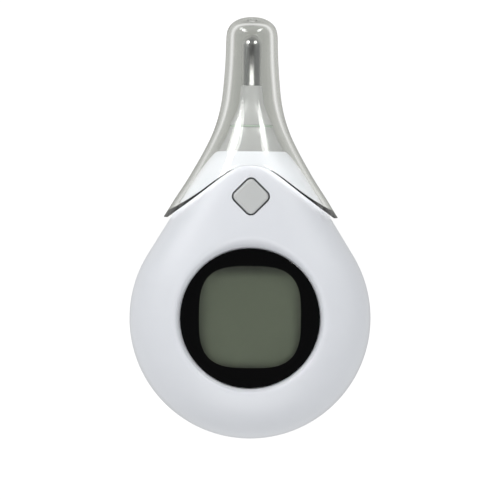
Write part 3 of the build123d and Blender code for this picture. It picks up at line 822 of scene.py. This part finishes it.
def grip_groove(length, y):
    """Cutter for one grip groove along X: a pin pulled out to the groove's length."""
    section = [(0.01, -1.0), (GROOVE_HALF, -1.0), (GROOVE_HALF, 0.3), (0.01, 0.35)]
    groove = about_z("groove", section, None, steps=24)
    for vertex in groove.data.vertices:
        vertex.co.x += math.copysign((length / 2 - GROOVE_HALF) * MM, vertex.co.x)
        vertex.co.y += y * MM
    return groove


# ---------------------------------------------------------------- probe

def probe(materials):
    """Collar, seal ring, slim neck and the metal tip."""
    collar_piece = about_probe("neck_collar", collar_outline(), materials["neck"])
    seal_piece = about_probe("neck_seal", seal_outline(), materials["seal"])
    neck_piece = about_probe("slim_neck", neck_outline(), materials["neck"])
    tip_piece = about_probe("metal_tip", tip_outline(), materials["steel"])
    return collar_piece, seal_piece, neck_piece, tip_piece


def collar_outline():
    flare = [(7.0, COLLAR_FOOT_Y + 0.1), (6.2, 35.9), (5.35, 37.4), (4.9, 38.5), (4.65, 39.3), (4.55, 39.45)]
    foot = [(1.7, COLLAR_FOOT_Y), (6.9, COLLAR_FOOT_Y)]
    socket = [(4.3, COLLAR_END_Y), (2.8, COLLAR_END_Y), (2.8, SPIGOT_Y), (1.7, SPIGOT_Y)]
    return foot + curve_through(flare, 5) + socket


def seal_outline():
    return [
        (2.75, COLLAR_END_Y), (4.3, COLLAR_END_Y), (4.38, COLLAR_END_Y + 0.1),
        (4.38, HOLDER_START_Y - 0.1), (4.3, HOLDER_START_Y), (2.75, HOLDER_START_Y),
    ]


def neck_outline():
    flare = [(4.5, 39.95), (3.95, 41.1), (3.2, 42.7), (2.75, 44.0), (2.5, 45.2), (2.3, 46.8), (2.2, 48.05)]
    spigot = [(1.05, SPIGOT_Y + 0.1), (2.7, SPIGOT_Y + 0.1), (2.7, HOLDER_START_Y), (4.4, HOLDER_START_Y)]
    socket = [(2.15, HOLDER_END_Y), (1.92, HOLDER_END_Y), (1.92, 46.6), (1.05, 46.6)]
    return spigot + curve_through(flare, 5) + socket


def tip_outline():
    """Thin shell with a round nose, and a sleeve that sits in the neck."""
    centre = TIP_HIGH.y - TIP_R
    inner = TIP_R - TIP_SHELL
    start = HOLDER_END_Y + 0.02
    outline = [(1.84, TIP_SLEEVE_Y), (1.84, start), (TIP_R - 0.06, start), (TIP_R, HOLDER_END_Y + 0.1)]
    outline += quarter(TIP_R, centre, 24)
    outline += quarter(inner, centre, 12)[::-1]
    outline.append((inner - 0.16, 47.0))
    return outline


def quarter(radius, centre, steps):
    """Quarter circle of (radius, y) points up to the axis."""
    turns = [math.radians(90 * k / steps) for k in range(steps + 1)]
    return [(max(radius * math.cos(a), 0.01), centre + radius * math.sin(a)) for a in turns]


def curve_through(points, steps):
    """Points on a smooth curve through a profile."""
    table = [(y, r) for r, y in points]
    result = []
    for (y0, _), (y1, _) in zip(table, table[1:]):
        for k in range(steps):
            y = y0 + (y1 - y0) * k / steps
            result.append((smooth(table, y), y))
    result.append(points[-1])
    return result


# ---------------------------------------------------------------- clear cap

def cap_point(turn, y, wall):
    """Point of the cap's wall round the axis at y, moved in by the wall."""
    slope = 1 + (1 / math.cos(TAIL_ANGLE) - 1) * clamp((CAP_STRAIGHT_Y - y) / CAP_SLOPE_FADE, 0.0, 1.0)
    table = CAP_FRONT_HEIGHT if math.sin(turn) >= 0 else CAP_REAR_HEIGHT
    w = smooth(CAP_WIDTH, y) - wall * slope
    h = smooth(table, y) - wall
    power = case_power(y)
    c = math.cos(turn)
    s = math.sin(turn)
    x = w * math.copysign(abs(c) ** (2 / power), c)
    z = h * math.copysign(abs(s) ** (2 / power), s)
    return x, y, AXIS_Z + z


def rim_y(turn, wall):
    """Where the arched rim cuts the cap's wall in a direction round the axis."""
    low, high = 15.0, 32.0
    for _ in range(40):
        middle = (low + high) / 2
        x = abs(cap_point(turn, middle, wall)[0])
        arch = smooth(CAP_RIM, x) if x < CAP_RIM[-1][0] else CAP_RIM[-1][1]
        low, high = (middle, high) if middle < arch else (low, middle)
    return max(low, CAP_CORNER_Y)


def cap_wall(y):
    """Thickness of the cap's wall at y: thicker towards the tip."""
    share = clamp((y - CAP_THICKEN_Y) / CAP_THICKEN_LENGTH, 0.0, 1.0)
    return CAP_WALL_FLARE + (CAP_WALL_TIP - CAP_WALL_FLARE) * share


def cap_rows(turns, inside, rows):
    """Rings of one side of the wall, from just above the rim to the start of the nose."""
    starts = [rim_y(turn, CAP_WALL_FLARE if inside else 0.0) + CAP_EDGE for turn in turns]
    rings = []
    for k in range(rows + 1):
        ring = []
        for turn, start in zip(turns, starts):
            y = start + (CAP_TUBE_Y - start) * k / rows
            ring.append(cap_point(turn, y, cap_wall(y) if inside else 0.0))
        rings.append(ring)
    return rings


def protective_cap(material):
    """Clear cap as one closed skin: nose, outside, rolled rim, and the inside up to the nose."""
    turns = [2 * math.pi * (k + 0.5) / 256 for k in range(256)]
    outside = cap_rows(turns, False, 70) + nose_rings(turns, CAP_NOSE, 4)
    for r, depth in ((0.75, 0.2), (0.35, 0.2), (0.3, 0.05)):
        outside.append(axis_ring(turns, r, CAP_END_Y - depth))
    inside = cap_rows(turns, True, 50) + nose_rings(turns, CAP_INNER_NOSE, 4)
    rim = []
    for share, lift in ((0.08, 0.3), (0.25, 0.05), (0.5, 0.0), (0.75, 0.05), (0.92, 0.3)):
        wall = CAP_WALL_FLARE * share
        rim.append([cap_point(t, rim_y(t, wall) + lift * CAP_EDGE, wall) for t in turns])
    return skin("clear_cap", outside[::-1] + rim + inside, material, ends=(True, True), sharp=40)


def nose_rings(turns, profile, steps):
    """Round rings along the cap's nose, after its first one."""
    rings = []
    for (y0, _), (y1, _) in zip(profile, profile[1:]):
        for k in range(1, steps + 1):
            y = y0 + (y1 - y0) * k / steps
            rings.append(axis_ring(turns, smooth(profile, y), y))
    return rings


# ---------------------------------------------------------------- studio

def aim(thing, target):
    direction = Vector(target) - thing.location
    thing.rotation_euler = direction.to_track_quat("-Z", "Y").to_euler()


def add_camera():
    """Straight above the display, far enough back to be almost without perspective, rolled a little."""
    data = bpy.data.cameras.new("camera")
    data.sensor_width = SENSOR
    data.lens = SENSOR * VIEW_DISTANCE / VIEW_WIDTH
    data.clip_end = 10.0
    camera = bpy.data.objects.new("camera", data)
    bpy.context.scene.collection.objects.link(camera)
    x = -VIEW_REACH * math.sin(VIEW_ROLL)
    y = VIEW_REACH * math.cos(VIEW_ROLL)
    camera.location = (x, y, AXIS_Z * MM + VIEW_DISTANCE)
    camera.rotation_euler = (0, 0, VIEW_ROLL)
    bpy.context.scene.camera = camera


def add_softbox(name, azimuth, elevation, distance, size, power):
    """Rectangular lamp aimed at the object from a direction in degrees."""
    data = bpy.data.lights.new(name, "AREA")
    data.shape = "RECTANGLE"
    data.size = size[0]
    data.size_y = size[1]
    data.energy = power
    lamp = bpy.data.objects.new(name, data)
    bpy.context.scene.collection.objects.link(lamp)
    a = math.radians(azimuth)
    e = math.radians(elevation)
    centre = Vector((0.0, 0.01, 0.01))
    towards = Vector((math.cos(e) * math.cos(a), math.cos(e) * math.sin(a), math.sin(e)))
    lamp.location = centre + distance * towards
    aim(lamp, centre)
    return lamp


def add_world():
    """Room that is light on its lower sides, grey above the horizon and dark overhead."""
    world = bpy.data.worlds.new("studio")
    world.use_nodes = True
    tree = world.node_tree
    background = tree.nodes["Background"]
    place = tree.nodes.new("ShaderNodeTexCoord")
    split = tree.nodes.new("ShaderNodeSeparateXYZ")
    height = tree.nodes.new("ShaderNodeMapRange")
    height.inputs["From Min"].default_value = -1.0
    height.inputs["From Max"].default_value = 1.0
    ramp = tree.nodes.new("ShaderNodeValToRGB")
    stops = (
        (-0.9, (0.49, 0.495, 0.47)), (-0.65, (0.95, 0.95, 0.94)), (-0.05, (0.52, 0.525, 0.52)),
        (0.05, (0.32, 0.33, 0.34)), (0.80, (0.32, 0.33, 0.34)), (0.96, (0.05, 0.05, 0.05)),
    )
    elements = ramp.color_ramp.elements
    while len(elements) < len(stops):
        elements.new(0.5)
    for element, (level, color) in zip(elements, stops):
        element.position = (level + 1) / 2
        element.color = (*color, 1.0)
    tree.links.new(place.outputs["Generated"], split.inputs["Vector"])
    tree.links.new(split.outputs["Z"], height.inputs["Value"])
    tree.links.new(height.outputs["Result"], ramp.inputs["Fac"])
    tree.links.new(ramp.outputs["Color"], background.inputs["Color"])
    bpy.context.scene.world = world


def add_table():
    """Lit white table: a plain backdrop that the camera sees and that throws no light on the object."""
    material = new_material("white_table", (0.15, 0.15, 0.15), 0.9)
    shader = material.node_tree.nodes["Principled BSDF"]
    shader.inputs["Emission Color"].default_value = (1, 1, 1, 1)
    shader.inputs["Emission Strength"].default_value = 0.93
    half = 3.0
    mesh = bpy.data.meshes.new("table")
    z = CAD_BOX[0][2] - 0.00005
    corners = [(-half, -half, z), (half, -half, z), (half, half, z), (-half, half, z)]
    mesh.from_pydata(corners, [], [(0, 1, 2, 3)])
    mesh.materials.append(material)
    table = bpy.data.objects.new("table", mesh)
    table.visible_diffuse = False
    table.visible_glossy = False
    table.visible_transmission = False
    table.visible_shadow = False
    bpy.context.scene.collection.objects.link(table)


def add_studio():
    """Softboxes beyond the tip at the left and right, and one beyond the casing's round end."""
    scene = bpy.context.scene
    scene.view_settings.view_transform = "Standard"
    scene.view_settings.look = "None"
    add_world()
    add_table()
    add_softbox("softbox_left", 134, 29, 0.7, (0.2, 0.36), 1.9)
    add_softbox("softbox_right", 50, 33, 0.7, (0.13, 0.34), 1.3)
    add_softbox("softbox_front", 270, 57, 0.8, (0.6, 0.5), 2.9)


def dress(node, material):
    """A CAD node that stays gets a better material."""
    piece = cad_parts[node]
    for index in range(len(piece.material_slots)):
        piece.material_slots[index].material = material


def main():
    add_camera()
    add_studio()
    materials = make_materials()

    pieces = [
        (front_case(materials["white"]), "thermometer", "white_casing", ["front_case"]),
        (rear_case(materials["white"]), "thermometer", "white_casing", ["rear_case"]),
        (button_cap(materials["grey"]), "button", "grey_plastic", ["button_cap"]),
        (battery_door(materials["white"]), "door", "white_casing", ["battery_door"]),
    ]
    cap = protective_cap(materials["cap"])
    lens, mask = display(materials)
    collar, seal, neck, tip = probe(materials)
    pieces += [
        (cap, "cap", "cap_clear", ["protective_cap"]),
        (lens, "thermometer", "lens_clear", ["display_lens"]),
        (mask, "thermometer", "black_print", ["display_mask"]),
        (collar, "thermometer", "grey_plastic", ["probe_collar"]),
        (seal, "thermometer", "seal_green", ["collar_seal"]),
        (neck, "thermometer", "grey_plastic", ["tip_holder"]),
        (tip, "thermometer", "stainless", ["probe_tip"]),
    ]
    for clear in (cap, lens):
        clear.visible_shadow = False
    for piece, body, slot, nodes in pieces:
        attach(piece, body)
        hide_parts(*nodes)

    kept = {
        "lens_adhesive": "foam", "lcd_panel": "lcd", "lcd_holder": "natural", "zebra_strip": "stripes",
        "main_board": "board", "controller_blob": "resin_black", "small_components": "chips",
        "piezo_buzzer": "moulded_black", "button_boot": "silicone", "switch_body": "moulded_black",
        "switch_plunger": "moulded_black", "tip_filler": "resin", "thermistor": "bead", "lead_wires": "wire",
        "battery_cell": "cell", "negative_contact": "spring", "positive_contact": "spring",
        "door_seal": "silicone", "door_screw": "screw", "case_screws": "screw", "board_screws": "screw",
    }
    for node, material in kept.items():
        dress(node, materials[material])


main()
